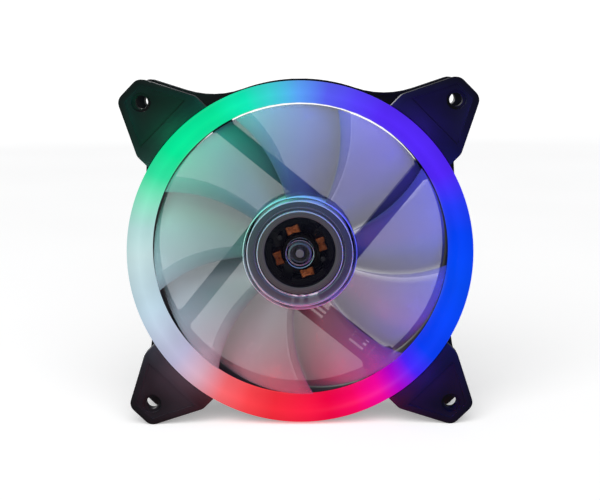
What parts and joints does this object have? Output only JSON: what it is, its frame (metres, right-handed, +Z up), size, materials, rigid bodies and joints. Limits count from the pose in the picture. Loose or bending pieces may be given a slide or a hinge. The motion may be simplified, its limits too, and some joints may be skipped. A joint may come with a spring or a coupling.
{
  "type": "case fan",
  "caption": "Axial case fan for a square screw pattern: clear bladed impeller in a black duct on pinwheel spokes, with a translucent bell-mouth ring lit in many colours round its front.",
  "frame": {"origin": "middle of the box round the fan, on the impeller's axis", "axes": "+Y along the axis from the lit front towards the spokes at the rear, +Z up, +X to the right seen from the front"},
  "size_m": [0.12, 0.025, 0.12],
  "materials": {
    "black_abs": "moulded, fine satin grain",
    "milky_polycarbonate": "translucent, lit from behind",
    "clear_polycarbonate": "clear, polished mould",
    "board_laminate": "solder mask",
    "lamp_package": "moulded lamp package",
    "yoke_steel": "zinc plated",
    "core_steel": "stacked laminations",
    "ground_steel": "ground",
    "tinned_pin": "dull tin",
    "bonded_ferrite": "bonded ferrite",
    "sintered_bronze": "sintered, oiled",
    "enamelled_copper": "enamelled copper wire",
    "black_nylon": "moulded",
    "natural_nylon": "moulded",
    "chip_epoxy": "moulded epoxy",
    "wire_sleeve": "extruded sleeve",
    "black_rubber": "soft moulded",
    "label_film": "blank printed film"
  },
  "bodies": {
    "housing": {"frame": "black_abs", "light_diffuser": "milky_polycarbonate", "lamp_board": "board_laminate", "lamp_01": "lamp_package", "lamp_02": "lamp_package", "lamp_03": "lamp_package", "lamp_04": "lamp_package", "lamp_05": "lamp_package", "lamp_06": "lamp_package", "lamp_07": "lamp_package", "lamp_08": "lamp_package", "lamp_09": "lamp_package", "lamp_10": "lamp_package", "lamp_11": "lamp_package", "lamp_12": "lamp_package", "lamp_13": "lamp_package", "lamp_14": "lamp_package", "lamp_15": "lamp_package", "lamp_16": "lamp_package", "sleeve_bearing": "sintered_bronze", "bearing_cap": "black_nylon", "stator_core": "core_steel", "former_front": "black_nylon", "former_rear": "black_nylon", "coil_1": "enamelled_copper", "coil_2": "enamelled_copper", "coil_3": "enamelled_copper", "coil_4": "enamelled_copper", "winding_pin_1": "tinned_pin", "winding_pin_2": "tinned_pin", "motor_board": "board_laminate", "hall_sensor": "chip_epoxy", "driver_chip": "chip_epoxy", "lead_wire_1": "wire_sleeve", "lead_wire_2": "wire_sleeve", "cable_grommet": "black_rubber", "rear_label": "label_film"},
    "rotor": {"impeller": "clear_polycarbonate", "yoke_ring": "yoke_steel", "magnet_ring": "bonded_ferrite", "shaft": "ground_steel", "thrust_washer": "natural_nylon", "retaining_clip": "natural_nylon"}
  },
  "joints": [
    {"name": "rotor_spin", "type": "hinge", "parent": "housing", "child": "rotor", "pos_m": [0, 0, 0], "axis": [0, 1, 0], "continuous": true}
  ]
}
